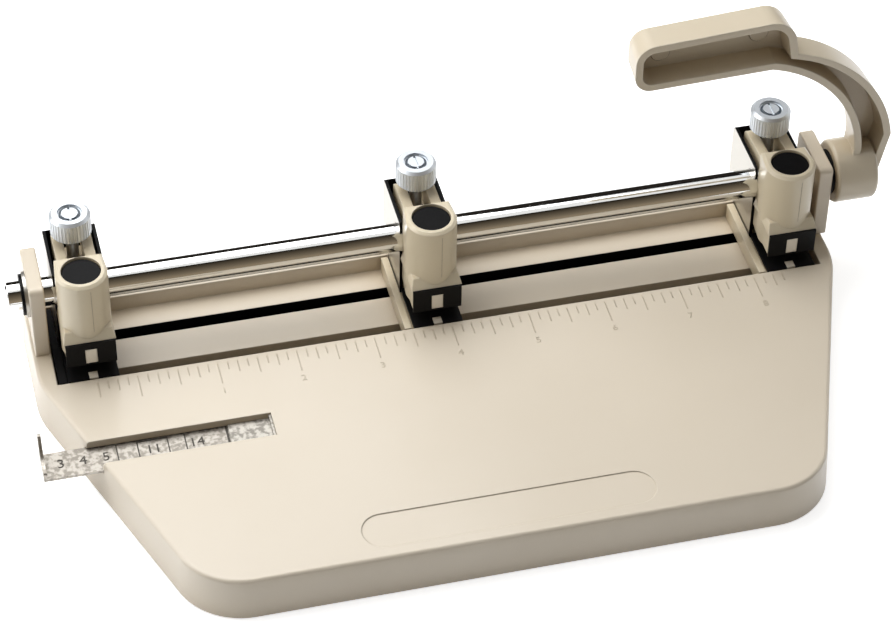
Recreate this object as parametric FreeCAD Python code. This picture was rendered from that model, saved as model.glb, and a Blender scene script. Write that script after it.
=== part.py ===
"""Adjustable three-hole paper punch with a swing lever, in millimetres.

+X runs along the operating shaft towards the lever, +Y points from the user to
the back, +Z is up.  The origin is on the table under the middle of the punch.
"""
import FreeCAD, Part
import math
import os

from FreeCAD import Vector

os.makedirs("parts", exist_ok=True)

# ---------------------------------------------------------------- fits
RUN = 0.05            # radial clearance of a running or sliding shaft fit
GAP = 0.3             # free space between other moving faces
SEAT = 0.05           # small play of a part that sits in a recess

# ---------------------------------------------------------------- datums
fence_y = 25.7        # rear edge of the paper table, which stops the sheet
head_spacing_left = 111.1
head_spacing_right = 119.0
middle_x = -10.3
HEADS = {
    "left": middle_x - head_spacing_left,
    "middle": middle_x,
    "right": middle_x + head_spacing_right,
}

# ---------------------------------------------------------------- base casting
base_centre_x = -7.4
base_height = 15.9
base_rim_z = 0.8              # the rim stays clear of the table, the feet stand on it
base_half_rear = 131.3
base_half_front = 95.8
base_depth_front = 93.7       # from the fence to the front edge
base_depth_rear = 42.0        # from the fence to the rear edge
base_bend_y = 2.1             # where the straight sides turn into the taper
front_corner_r = 21.0
side_bend_r = 30.0
rear_corner_r = 4.0
base_draft = 1.0              # the skirt is this much wider at the bottom
base_wall = 3.0
edge_round = 1.2

# ---------------------------------------------------------------- trough
trough_left = -133.1
trough_right = 118.7
trough_width = 36.0
trough_floor_z = 9.9
floor_thickness = 3.3
chip_opening = 9.4            # open strip behind the fence, chips drop through it
slot_front = 22.4             # guide slot of the heads, measured from the fence
slot_rear = 27.2
fence_wall = 2.5
trough_end_wall = 4.1         # runs into the skirt's side walls

# ---------------------------------------------------------------- front panel
panel_left = -54.0
panel_right = 37.4
panel_rear = -76.0            # from the fence
panel_width = 13.4
panel_depth = 0.3
panel_corner_r = 6.6

# ---------------------------------------------------------------- feet and chip tray
front_foot_x = 80.0           # from the base's middle
front_foot_inset = 13.0       # from the front edge
rear_foot_x = 119.0
rear_foot_y = 35.8            # from the fence
foot_r = 5.0
rear_foot_r = 4.1
foot_thickness = 1.8
foot_stem_r = 1.8
foot_stem = 3.0
foot_boss_r = 6.5
rear_boss_r = 4.9
tray_wall = 1.2
tray_front = -6.0             # from the fence
tray_rear = 18.0
tray_bottom_z = 1.2
tray_top_z = 5.6
tray_end_gap = 2.0
tray_catch_r = 2.2
apron_rear = 30.6             # the tray's flat rear part closes the guide slot from below
lip_thickness = 0.8

# ---------------------------------------------------------------- shaft and ears
shaft_r = 4.75
shaft_y = fence_y + 22.5
shaft_z = 35.6
shaft_flat = 3.9              # distance from the axis to the driving flat
ear_thickness = 4.8
ear_left_inner = -133.1
ear_right_inner = 120.6
ear_front = 14.3              # from the fence
ear_rear = 36.2
ear_top_z = 43.3
ear_corner_r = 1.8
ear_foot_step = 1.1           # rise of the ear's seat on the deck
ear_foot_depth = 3.0          # tenon that drops into the deck
ear_screw_r = 1.0
ear_screw_inset = 1.5         # from the ear's inner face
ear_screw_head = 0.7          # the head's radius is this much larger
ear_screw_bore = 0.9          # the counterbore's radius is this much larger
ear_tenon_inner = 0.5         # tenon's faces, from the ear's inner face
ear_tenon_outer = 2.4
washer_r = 7.4
washer_thickness = 1.0
ring_r = 6.6
ring_thickness = 0.9
ring_groove_r = 4.0
stub_length = 4.6             # shaft end outside the retaining ring
lever_washer_thickness = 1.2

# ---------------------------------------------------------------- lever
lever_front = shaft_y - 4.5
lever_rear = shaft_y + 6.1
lever_wall = 2.4
lever_draft = 0.7             # the outline is this much smaller at the back
pocket_draft = 0.7
lever_web = 2.6
hub_r = 10.5
hub_left = 126.9
hub_length = 14.0
hub_round = 1.2
lever_tip_x = 56.2
grip_right_x = 107.4
grip_bottom_z = 84.6
grip_height = 18.2
grip_corner_r = 6.0
grip_rise = 2.8               # the grip climbs by this much towards the arm
arm_shoulder = (109.6, 91.0)  # where the arm's outer edge leaves the grip, in X and Z
arm_outer_far = (135.9, 73.8)
arm_outer_mid = (145.2, 52.0)
arm_outer_end = (140.6, 27.6)
arm_inner_start = (101.6, 86.2)
arm_inner_far = (123.6, 72.0)
arm_inner_mid = (133.2, 47.0)
arm_inner_end = (131.4, 26.0)
pocket_end_z = 40.0
mark_r = 2.9
mark_height = 0.5
pin_r = 1.6
pin_front = shaft_y - 7.5     # blind end of the cross hole, driven from the back

# ---------------------------------------------------------------- punch heads
punch_y = fence_y + 11.8
head_r = 8.2
head_top_z = 51.7
head_back = 19.0              # square back corners of the top, from the fence
head_back_half = 7.5
plunger_r = 5.0
spring_floor_z = 23.4
cap_seat_z = 47.7
cap_r = 6.2
cap_recess = 0.8
foot_front = 3.0              # front of the head's foot, from the fence
foot_half = 7.6
foot_bottom_z = 20.6
flare_z = 29.3
flare_height = 3.2
body_back = 29.5
body_top_z = 37.0
lug_back = 38.6
lug_half = 6.2
lug_gap = 5.8
lug_bottom_z = 33.0
lug_top_z = 47.0
collar_r = 5.9
collar_half = 3.2
finger_half = 2.2
finger_reach = shaft_y - punch_y - 2.4
finger_tip_r = 1.8
finger_arm_half = 1.1
finger_angle = 28.0           # finger stands this far above level at rest
lever_throw = 56.0            # degrees from rest to fully down
pin_punch_r = 3.175
pin_tip_rest_z = 21.3
plunger_bottom_gap = 4.6      # from the finger's centre down to the plunger's end
plunger_top_gap = 4.2
wire_r = 0.35
wire_sides = 8                # the coil's section has the round wire's area
pin_socket = 1.8              # depth of the plunger's socket for the pin
pin_neck_r = 2.3
spring_mean_r = 3.95
spring_turns = 4

# ---------------------------------------------------------------- head frame
frame_half = 8.4
frame_sheet = 1.0
frame_front = 19.6
frame_back = 43.0
frame_top_z = 43.6
frame_clearance = 0.5         # the frame's low edge runs this far above the deck
frame_tail_z = 10.4
frame_tail_back = 35.4
frame_lip_front = 27.6

# ---------------------------------------------------------------- throat, die and clamp
throat_top_z = 20.6
die_top_z = 16.1
die_plate_t = 1.2
plate_sheet = 0.8
plate_half = 7.9
window_half = 1.9
window_z0 = 21.0
window_z1 = 26.9
notch_half = 1.45
notch_depth = 3.0
carrier_half = 8.0
carrier_front = 0.5
carrier_back = 30.0
rib_thickness = 2.3
rib_back = 35.2
die_clearance = 0.06
hook_half = 6.0
hook_neck_play = 0.3
hook_foot_front = 19.6
hook_foot_back = 29.5
hook_foot_z0 = 3.6
hook_foot_t = 2.6
knob_r = 6.5
knob_y = fence_y + 33.0
knob_top_z = 57.3
knob_height = 8.3
knob_chamfer = 0.9
knob_recess_r = 3.9
knob_recess = 0.9
screw_head_r = 2.6
screw_slot = 0.7
shank_r = 2.0
knurl_count = 36
knurl_depth = 0.28

# ---------------------------------------------------------------- gauge
gauge_width = 10.8
gauge_rear = -25.9            # from the fence
gauge_z = 12.0
gauge_t = 1.0
gauge_left = -142.3
gauge_right = -72.4
gauge_sheet = 1.0             # thickness of the turned-up end
gauge_tab = [                 # the turned-up end, in Y from the fence and Z
    (-36.7, 12.0), (-25.9, 12.0), (-25.9, 22.5), (-27.4, 22.5), (-31.2, 16.4), (-36.7, 15.4)]
gauge_tab_radii = [0, 0, 0.6, 0.6, 2.5, 0.6]
gauge_play = 0.3
slot_top_front = -36.5
slot_top_rear = -26.7
slot_right = -70.5
clip_left = -84.3
clip_t = 0.7


# ---------------------------------------------------------------- helpers
def save(name, shape):
    """Write one node."""
    shape.exportStep("parts/%s.step" % name)


def box(x0, x1, y0, y1, z0, z1):
    """Block between two opposite corners."""
    return Part.makeBox(x1 - x0, y1 - y0, z1 - z0, Vector(x0, y0, z0))


def rod_x(r, x0, x1, y, z):
    """Cylinder along X."""
    return Part.makeCylinder(r, x1 - x0, Vector(x0, y, z), Vector(1, 0, 0))


def rod_z(r, x, y, z0, z1):
    """Cylinder along Z."""
    return Part.makeCylinder(r, z1 - z0, Vector(x, y, z0), Vector(0, 0, 1))


def rod_y(r, x, y0, y1, z):
    """Cylinder along Y."""
    return Part.makeCylinder(r, y1 - y0, Vector(x, y0, z), Vector(0, 1, 0))


def rounded_wire(points, radii):
    """Closed wire through the points, each corner rounded to its radius (0 keeps it sharp)."""
    count = len(points)
    starts, ends, middles = [], [], []
    for i, point in enumerate(points):
        before = (points[i - 1] - point).normalize()
        after = (points[(i + 1) % count] - point).normalize()
        radius = radii[i]
        if radius <= 0:
            starts.append(point)
            ends.append(point)
            middles.append(None)
            continue
        half = before.getAngle(after) / 2
        reach = radius / math.tan(half)
        centre = point + (before + after).normalize() * (radius / math.sin(half))
        starts.append(point + before * reach)
        ends.append(point + after * reach)
        middles.append(centre + (point - centre).normalize() * radius)
    edges = []
    for i in range(count):
        if middles[i] is not None:
            edges.append(Part.Arc(starts[i], middles[i], ends[i]).toShape())
        following = (i + 1) % count
        if (ends[i] - starts[following]).Length > 1e-6:
            edges.append(Part.LineSegment(ends[i], starts[following]).toShape())
    return Part.Wire(edges)


def plate_z(points, radii, z0, z1):
    """Rounded outline in XY, thickened from z0 to z1."""
    wire = rounded_wire([Vector(x, y, z0) for x, y in points], radii)
    return Part.Face(wire).extrude(Vector(0, 0, z1 - z0))


def plate_x(points, radii, x0, x1):
    """Rounded outline in YZ, thickened from x0 to x1."""
    wire = rounded_wire([Vector(x0, y, z) for y, z in points], radii)
    return Part.Face(wire).extrude(Vector(x1 - x0, 0, 0))


def base_outline(grow, z):
    """Outline of the base in plan, grown outwards by the given distance."""
    lean = math.atan2(base_half_rear - base_half_front, base_depth_front + base_bend_y)
    slant = grow * math.tan((math.pi / 2 - lean) / 2)
    bend = grow * math.tan(lean / 2)
    front = fence_y - base_depth_front - grow
    rear = fence_y + base_depth_rear + grow
    corners = [
        (base_half_front + slant, front),
        (base_half_rear + grow, fence_y + base_bend_y - bend),
        (base_half_rear + grow, rear),
    ]
    right = [Vector(base_centre_x + x, y, z) for x, y in corners]
    left = [Vector(base_centre_x - x, y, z) for x, y in reversed(corners)]
    radii = [front_corner_r + grow, side_bend_r + grow, max(rear_corner_r + grow, 0.8)]
    return rounded_wire(right + left, radii + radii[::-1])


def side_x(y):
    """Distance of the tapered side from the base's middle plane at a given y."""
    share = (fence_y + base_bend_y - y) / (base_depth_front + base_bend_y)
    return base_half_rear - share * (base_half_rear - base_half_front)


# ---------------------------------------------------------------- base
def foot_places():
    """Centres of the four rubber feet."""
    front = fence_y - base_depth_front + front_foot_inset
    rear = fence_y + rear_foot_y
    return [
        (base_centre_x - front_foot_x, front),
        (base_centre_x + front_foot_x, front),
        (base_centre_x - rear_foot_x, rear),
        (base_centre_x + rear_foot_x, rear),
    ]


def ear_screw_places(inner, outwards):
    """Two screws that hold one ear to the deck from below."""
    x = inner + outwards * ear_screw_inset
    return [(x, fence_y + ear_front + 4.5), (x, fence_y + ear_rear - 4.5)]


def make_base():
    skirt = Part.makeLoft([base_outline(base_draft, base_rim_z), base_outline(0, base_height)], True, True)
    top_edges = [e for e in skirt.Edges if e.BoundBox.ZMin > base_height - 0.01]
    skirt = skirt.makeFillet(edge_round, top_edges)
    ceiling = base_height - base_wall
    hollow = Part.makeLoft(
        [base_outline(base_draft - base_wall, base_rim_z - 1), base_outline(-base_wall, ceiling)], True, True)
    shell = skirt.cut(hollow)

    front, rear = fence_y, fence_y + trough_width
    under = trough_floor_z - floor_thickness
    outer = Part.makeLoft([base_outline(0, 0), base_outline(0, base_height)], True, True)
    pan_left, pan_right = trough_left - trough_end_wall, trough_right + trough_end_wall
    pan = box(pan_left, pan_right, front - fence_wall, rear + fence_wall, under, ceiling + 0.5)
    curtain = box(trough_left - fence_wall, trough_right + fence_wall, front - fence_wall, front,
                  tray_top_z + 0.4, under + 0.5)
    bosses = [rod_z(foot_boss_r, x, y, foot_thickness, ceiling + 0.5) for x, y in foot_places()[:2]]
    bosses += [rod_z(rear_boss_r, x, y, foot_thickness, under + 0.5) for x, y in foot_places()[2:]]
    catch_z = tray_top_z + 0.4
    bosses += [rod_z(tray_catch_r, x, tray_catch_y(), catch_z, ceiling + 0.5) for x in tray_catches()]
    shell = shell.fuse([pan.common(outer), curtain] + [b.common(outer) for b in bosses])

    cuts = [
        box(trough_left, trough_right, front, rear, trough_floor_z, base_height + 1),
        box(trough_left, trough_right, front, front + chip_opening, 0, base_height),
        box(trough_left + 4, trough_right - 4, front + slot_front, front + slot_rear, 0, base_height),
    ]
    cuts += [rod_z(foot_stem_r, x, y, 0, foot_thickness + foot_stem + 0.4) for x, y in foot_places()]
    cuts += [rod_z(tray_catch_r - 1.2, x, tray_catch_y(), 0, tray_top_z + 4.0) for x in tray_catches()]
    cuts += gauge_slots()
    panel_y = fence_y + panel_rear
    cuts.append(plate_z([(panel_left, panel_y - panel_width), (panel_right, panel_y - panel_width),
                         (panel_right, panel_y), (panel_left, panel_y)],
                        [panel_corner_r] * 4, base_height - panel_depth, base_height + 1))
    for inner, outwards in ((ear_left_inner, -1), (ear_right_inner, 1)):
        cuts.append(ear_tenon(inner, outwards, SEAT))
        for x, y in ear_screw_places(inner, outwards):
            cuts.append(rod_z(ear_screw_r + 0.1, x, y, 0, base_height + 1))
            cuts.append(rod_z(ear_screw_r + ear_screw_bore, x, y, 0, 8.0))
    return shell.cut(cuts).removeSplitter()


def tray_catches():
    """X of the pegs that hold the chip tray."""
    return [trough_left + 40.0, trough_right - 40.0]


def tray_catch_y():
    return fence_y + tray_front + 2.6


def gauge_slots():
    """Open slot in the table, and the wider guide below it that holds the strip."""
    left = base_centre_x - base_half_rear - 5
    guide_front = fence_y + gauge_rear - gauge_width - gauge_play
    return [
        box(left, slot_right, fence_y + slot_top_front, fence_y + slot_top_rear, gauge_z, base_height + 1),
        box(left, slot_right, guide_front, fence_y + gauge_rear + gauge_play, gauge_z - gauge_play,
            gauge_z + gauge_t + gauge_play),
    ]


def make_gauge_bed():
    """Shelf under the table that carries the gauge strip."""
    left = base_centre_x - side_x(fence_y + gauge_rear - gauge_width) + base_wall - 1.0
    top = gauge_z - gauge_play + 0.2
    return box(left, slot_right + 3, fence_y + gauge_rear - gauge_width - 4, fence_y + gauge_rear + 4,
               top - 2.4, top - 0.2)


def make_feet():
    solids = []
    for x, y in foot_places():
        pad = rod_z(foot_r if y < fence_y else rear_foot_r, x, y, 0, foot_thickness)
        lower = [e for e in pad.Edges if e.BoundBox.ZMax < 0.01]
        pad = pad.makeFillet(0.5, lower)
        stem = rod_z(foot_stem_r - SEAT, x, y, foot_thickness - 0.2, foot_thickness + foot_stem)
        solids.append(pad.fuse(stem))
    return Part.makeCompound(solids)


def make_tray():
    x0, x1 = trough_left + tray_end_gap, trough_right - tray_end_gap
    y0, y1 = fence_y + tray_front, fence_y + tray_rear
    corners = [(x0, y0), (x1, y0), (x1, y1), (x0, y1)]
    inner = [(x0 + tray_wall, y0 + tray_wall), (x1 - tray_wall, y0 + tray_wall),
             (x1 - tray_wall, y1 - tray_wall), (x0 + tray_wall, y1 - tray_wall)]
    tray = plate_z(corners, [3.0] * 4, tray_bottom_z, tray_top_z)
    tray = tray.cut(plate_z(inner, [1.8] * 4, tray_bottom_z + tray_wall, tray_top_z + 1))
    for x in tray_catches():
        peg = rod_z(tray_catch_r - 1.2 - RUN, x, tray_catch_y(), tray_bottom_z + 0.6, tray_top_z + 3.4)
        tray = tray.fuse(peg)
    rear = fence_y + apron_rear
    apron = box(x0, x1, y1 - tray_wall, rear, tray_bottom_z, tray_bottom_z + tray_wall)
    lip = box(x0, x1, rear - lip_thickness, rear, tray_bottom_z, tray_top_z)
    return tray.fuse([apron, lip]).removeSplitter()


# ---------------------------------------------------------------- ears and shaft
def ear_tenon(inner, outwards, play):
    """Tongue under an ear, grown by the play when it cuts the deck."""
    x0, x1 = sorted((inner + outwards * ear_tenon_inner, inner + outwards * ear_tenon_outer))
    return box(x0 - play, x1 + play, fence_y + ear_front + 8.0 - play, fence_y + ear_rear - 8.0 + play,
               base_height - ear_foot_depth - play, base_height + ear_foot_step + 1)


def make_ear(inner, outwards):
    x0, x1 = sorted((inner, inner + outwards * ear_thickness))
    y0, y1 = fence_y + ear_front, fence_y + ear_rear
    points = [(y0, base_height), (y1, base_height), (y1, ear_top_z), (y0, ear_top_z)]
    ear = plate_x(points, [0, 0, ear_corner_r, ear_corner_r], x0, x1)
    edges = [e for e in ear.Edges if e.BoundBox.ZMax > base_height + ear_foot_step]
    ear = ear.makeFillet(0.5, [e for e in edges if e.BoundBox.XMax - e.BoundBox.XMin < 0.01])
    tenon = ear_tenon(inner, outwards, 0).common(box(x0 - 1, x1 + 1, y0, y1, 0, base_height + 0.5))
    ear = ear.fuse(tenon)
    ear = ear.cut(rod_x(shaft_r + RUN, x0 - 1, x1 + 1, shaft_y, shaft_z))
    for x, y in ear_screw_places(inner, outwards):
        ear = ear.cut(rod_z(ear_screw_r, x, y, base_height - 1, base_height + 7.0))
    return ear.removeSplitter()


def make_ear_screws():
    solids = []
    for inner, outwards in ((ear_left_inner, -1), (ear_right_inner, 1)):
        for x, y in ear_screw_places(inner, outwards):
            shank = rod_z(ear_screw_r - SEAT, x, y, 6.6, base_height + 6.5)
            head = rod_z(ear_screw_r + ear_screw_head, x, y, 5.0, 8.0 - SEAT)
            slot = box(x - 0.35, x + 0.35, y - 4, y + 4, 4.0, 5.8)
            solids.append(shank.fuse(head).cut(slot))
    return Part.makeCompound(solids)


def shaft_ends():
    """Ends of the shaft, and the outer face of the left retaining ring."""
    washer_left = ear_left_inner - ear_thickness - washer_thickness - SEAT
    ring_left = washer_left - ring_thickness - SEAT
    return ring_left - stub_length, hub_left + hub_length - 1.5, ring_left


def keyed_section(r, flat, x0, x1):
    """Round bar along X with one flat, which faces down and back at rest."""
    bar = rod_x(r, x0, x1, shaft_y, shaft_z)
    cutter = box(x0 - 1, x1 + 1, shaft_y - 2 * r, shaft_y + 2 * r, shaft_z - 3 * r, shaft_z - flat)
    cutter.rotate(Vector(0, shaft_y, shaft_z), Vector(1, 0, 0), 45)
    return bar.cut(cutter)


def make_shaft():
    left, right, ring_left = shaft_ends()
    keyed_from = HEADS["left"] - collar_half - 1.0
    keyed_to = HEADS["right"] + collar_half + 1.0
    parts = [
        rod_x(shaft_r, left, keyed_from, shaft_y, shaft_z),
        keyed_section(shaft_r, shaft_flat, keyed_from, keyed_to),
        rod_x(shaft_r, keyed_to, right, shaft_y, shaft_z),
    ]
    shaft = parts[0].fuse(parts[1:])
    groove = rod_x(shaft_r + 1, ring_left - SEAT, ring_left + ring_thickness + SEAT, shaft_y, shaft_z)
    groove = groove.cut(rod_x(ring_groove_r, ring_left - 1, ring_left + ring_thickness + 1, shaft_y, shaft_z))
    shaft = shaft.cut(groove)
    shaft = shaft.cut(rod_y(pin_r + SEAT, hub_left + hub_length / 2, pin_front, shaft_y + 20, shaft_z))
    shaft = shaft.removeSplitter()
    ends = [e for e in shaft.Edges
            if e.BoundBox.XMax - e.BoundBox.XMin < 0.01
            and (abs(e.BoundBox.XMin - left) < 0.01 or abs(e.BoundBox.XMin - right) < 0.01)]
    return shaft.makeChamfer(0.5, ends)


def make_thrust_washer():
    x1 = ear_left_inner - ear_thickness - SEAT
    x0 = x1 - washer_thickness
    bore = rod_x(shaft_r + RUN, x0 - 1, x1 + 1, shaft_y, shaft_z)
    return rod_x(washer_r, x0, x1, shaft_y, shaft_z).cut(bore)


def make_retaining_ring():
    ring_left = shaft_ends()[2]
    x1 = ring_left + ring_thickness
    ring = rod_x(ring_r, ring_left, x1, shaft_y, shaft_z)
    ring = ring.cut(rod_x(ring_groove_r + RUN, ring_left - 1, x1 + 1, shaft_y, shaft_z))
    mouth = box(ring_left - 1, x1 + 1, shaft_y - 2.6, shaft_y + 2.6, shaft_z - 2 * ring_r, shaft_z)
    return ring.cut(mouth)


def make_lever_washer():
    x0 = ear_right_inner + ear_thickness + SEAT
    x1 = hub_left - SEAT
    bore = rod_x(shaft_r + RUN, x0 - 1, x1 + 1, shaft_y, shaft_z)
    return rod_x(washer_r, x0, x1, shaft_y, shaft_z).cut(bore)


# ---------------------------------------------------------------- lever
def lever_outline(y, inset):
    """Outline of grip and arm in the plane y, drawn inset from the real edge."""
    def at(point, x_share, z_share):
        return Vector(point[0] + x_share * inset, y, point[1] + z_share * inset)

    def toward(a, b, length):
        return a + (b - a).normalize() * length

    def corner_arc(start, point, end):
        chord = (start + end) * 0.5
        middle = chord + (point - chord) * (math.sqrt(2) - 1)
        return Part.Arc(start, middle, end).toShape()

    grip_top = grip_bottom_z + grip_height
    low_left = at((lever_tip_x, grip_bottom_z), 1, 1)
    high_left = at((lever_tip_x, grip_top - 1.0), 1, -1)
    high_right = at((grip_right_x, grip_top + grip_rise - 0.6), -1, -1)
    shoulder = at(arm_shoulder, -0.9, -0.6)
    outer_far = at(arm_outer_far, -0.8, -0.6)
    outer_mid = at(arm_outer_mid, -1, 0)
    outer_end = at(arm_outer_end, -1, 1)
    inner_end = at(arm_inner_end, 1, 1)
    inner_mid = at(arm_inner_mid, 1, 0)
    inner_far = at(arm_inner_far, 0.8, 0.6)
    inner_start = at(arm_inner_start, 0.3, 1)

    corner = grip_corner_r - inset
    wide = corner + 2.0
    low_a, low_b = toward(low_left, inner_start, corner), toward(low_left, high_left, corner)
    high_a, high_b = toward(high_left, low_left, corner), toward(high_left, high_right, corner)
    right_a, right_b = toward(high_right, high_left, wide), toward(high_right, shoulder, wide)
    return Part.Wire([
        Part.LineSegment(inner_start, low_a).toShape(),
        corner_arc(low_a, low_left, low_b),
        Part.LineSegment(low_b, high_a).toShape(),
        corner_arc(high_a, high_left, high_b),
        Part.LineSegment(high_b, right_a).toShape(),
        corner_arc(right_a, high_right, right_b),
        Part.LineSegment(right_b, shoulder).toShape(),
        Part.Arc(shoulder, outer_far, outer_mid).toShape(),
        Part.LineSegment(outer_mid, outer_end).toShape(),
        Part.LineSegment(outer_end, inner_end).toShape(),
        Part.LineSegment(inner_end, inner_mid).toShape(),
        Part.Arc(inner_mid, inner_far, inner_start).toShape(),
    ])


def make_lever():
    blank = Part.makeLoft([lever_outline(lever_front, 0), lever_outline(lever_rear, lever_draft)], True, True)
    web_y = lever_rear - lever_web
    pocket = Part.makeLoft([lever_outline(lever_front, lever_wall),
                            lever_outline(web_y, lever_wall + pocket_draft)], True, True)
    mouth = Part.Face(lever_outline(lever_front - 1, lever_wall)).extrude(Vector(0, 1, 0))
    above_hub = box(-200, 200, lever_front - 2, lever_rear, pocket_end_z, 200)
    hub_right = hub_left + hub_length
    hub = rod_x(hub_r, hub_left, hub_right, shaft_y, shaft_z)
    hub_edges = [e for e in hub.Edges if e.BoundBox.XMax - e.BoundBox.XMin < 0.01]
    hub = hub.makeFillet(hub_round, hub_edges)
    lever = blank.cut([pocket.common(above_hub), mouth.common(above_hub)]).fuse(hub)
    for x, z in mark_places():
        lever = lever.fuse(rod_y(mark_r, x, web_y - mark_height, lever_rear - 1, z))
    left, right, ring_left = shaft_ends()
    lever = lever.cut(rod_x(shaft_r + RUN, hub_left - 1, right + 0.2, shaft_y, shaft_z))
    lever = lever.cut(rod_y(pin_r + SEAT, hub_left + hub_length / 2, pin_front, shaft_y + 20, shaft_z))
    return lever.removeSplitter()


def mark_places():
    """Two round marks that the mould's pins leave on the grip's web."""
    z = grip_bottom_z + grip_height / 2 - 0.4
    return [(lever_tip_x + 10.2, z), (grip_right_x - 8.8, z + 2.2)]


def make_lever_pin():
    x = hub_left + hub_length / 2
    return rod_y(pin_r, x, pin_front + SEAT, shaft_y + hub_r - 0.6, shaft_z)


# ---------------------------------------------------------------- punch heads
def finger_centre():
    """Y and Z of the finger's round tip at rest."""
    angle = math.radians(finger_angle)
    return shaft_y - finger_reach * math.cos(angle), shaft_z + finger_reach * math.sin(angle)


def punch_stroke():
    """Downward travel of the plunger over the lever's whole throw."""
    up = math.radians(finger_angle)
    down = math.radians(finger_angle - lever_throw)
    return finger_reach * (math.sin(up) - math.sin(down))


def head_top_outline(grow, z):
    """D-shaped top: round in front, square at the back."""
    r = head_r + grow
    back = fence_y + head_back + grow
    half = head_back_half + grow
    a, b = Vector(-r, punch_y, z), Vector(r, punch_y, z)
    return Part.Wire([
        Part.Arc(a, Vector(0, punch_y - r, z), b).toShape(),
        Part.LineSegment(b, Vector(half, back, z)).toShape(),
        Part.LineSegment(Vector(half, back, z), Vector(-half, back, z)).toShape(),
        Part.LineSegment(Vector(-half, back, z), a).toShape(),
    ])


def make_head_casting():
    column = Part.Face(head_top_outline(0, foot_bottom_z)).extrude(Vector(0, 0, head_top_z - foot_bottom_z))
    rim = [e for e in column.Edges if e.BoundBox.ZMin > head_top_z - 0.01]
    column = column.makeChamfer(0.9, rim)
    front = fence_y + foot_front
    foot = box(-foot_half, foot_half, front, fence_y + head_back, foot_bottom_z, flare_z)
    flare_top = box(-foot_half, foot_half, front + 1.6, fence_y + head_back, flare_z, flare_z + 0.01)
    flare = Part.makeLoft([
        Part.makePolygon([Vector(-foot_half - 0.6, front, flare_z), Vector(foot_half + 0.6, front, flare_z),
                          Vector(foot_half + 0.6, fence_y + head_back, flare_z),
                          Vector(-foot_half - 0.6, fence_y + head_back, flare_z),
                          Vector(-foot_half - 0.6, front, flare_z)]),
        Part.makePolygon([Vector(-foot_half + 0.2, front + 2.2, flare_z + flare_height),
                          Vector(foot_half - 0.2, front + 2.2, flare_z + flare_height),
                          Vector(foot_half - 0.2, fence_y + head_back, flare_z + flare_height),
                          Vector(-foot_half + 0.2, fence_y + head_back, flare_z + flare_height),
                          Vector(-foot_half + 0.2, front + 2.2, flare_z + flare_height)]),
    ], True, True)
    inner_half = frame_half - frame_sheet - GAP / 3
    body_front = fence_y + head_back - 6
    body = box(-inner_half, inner_half, body_front, fence_y + body_back, foot_bottom_z, body_top_z)
    lugs = []
    for side in (-1, 1):
        x0, x1 = sorted((side * lug_gap / 2, side * lug_half))
        lug = plate_x([(fence_y + head_back - 3, lug_bottom_z), (fence_y + lug_back, lug_bottom_z),
                       (fence_y + lug_back, lug_top_z - 1.5), (fence_y + head_back - 3, lug_top_z)],
                      [0, 4.0, 3.0, 0], x0, x1)
        lugs.append(lug)
    bridge = box(-lug_half, lug_half, fence_y + body_back - 1, fence_y + lug_back,
                 lug_bottom_z, lug_bottom_z + 5.0)
    bridge = bridge.common(plate_x([(fence_y, lug_bottom_z), (fence_y + lug_back, lug_bottom_z),
                                    (fence_y + lug_back, lug_top_z), (fence_y, lug_top_z)],
                                   [0, 4.0, 3.0, 0], -20, 20))
    solid = column.fuse([foot, flare, body, bridge] + lugs)

    stroke = punch_stroke()
    cuts = [
        rod_z(plunger_r + RUN, 0, punch_y, spring_floor_z, head_top_z + 1),
        rod_z(cap_r + SEAT, 0, punch_y, cap_seat_z, head_top_z + 1),
        rod_z(pin_punch_r + RUN, 0, punch_y, foot_bottom_z - 1, spring_floor_z + 1),
        rod_x(shaft_r + RUN, -20, 20, shaft_y, shaft_z),
        rod_x(collar_r + GAP, -collar_half - GAP, collar_half + GAP, shaft_y, shaft_z),
        rod_z(shank_r + 0.4, 0, knob_y, 0, head_top_z + 1),
    ]
    finger_y, finger_z = finger_centre()
    cuts.append(box(-finger_half - GAP, finger_half + GAP, punch_y, shaft_y,
                    finger_z - stroke - finger_tip_r - 0.6, finger_z + finger_tip_r + 0.6))
    return solid.cut(cuts).removeSplitter()


def make_plunger():
    finger_y, finger_z = finger_centre()
    low, high = finger_z - plunger_bottom_gap, finger_z + plunger_top_gap
    plunger = rod_z(plunger_r, 0, punch_y, low, high)
    flat_y = shaft_y - collar_r - GAP
    half = collar_half + 2 * GAP
    plunger = plunger.cut(box(-half, half, flat_y - 0.2, punch_y + 20, low - 1, high + 1))
    mouth = finger_tip_r + GAP
    front_reach = shaft_y - finger_reach - finger_tip_r - GAP
    pocket = box(-finger_half - GAP, finger_half + GAP, front_reach, punch_y + 20,
                 finger_z - mouth, finger_z + mouth)
    plunger = plunger.cut(pocket)
    socket = rod_z(pin_neck_r, 0, punch_y, low - 1, low + pin_socket)
    return plunger.cut(socket)


def make_punch_pin():
    finger_y, finger_z = finger_centre()
    low = finger_z - plunger_bottom_gap
    pin = rod_z(pin_punch_r, 0, punch_y, pin_tip_rest_z, low)
    pin = pin.fuse(rod_z(pin_neck_r - SEAT, 0, punch_y, low - 0.1, low + pin_socket - SEAT))
    notch = rod_y(pin_punch_r * 1.5, 0, punch_y - 10, punch_y + 10, pin_tip_rest_z - pin_punch_r * 1.28)
    return pin.cut(notch)


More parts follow.
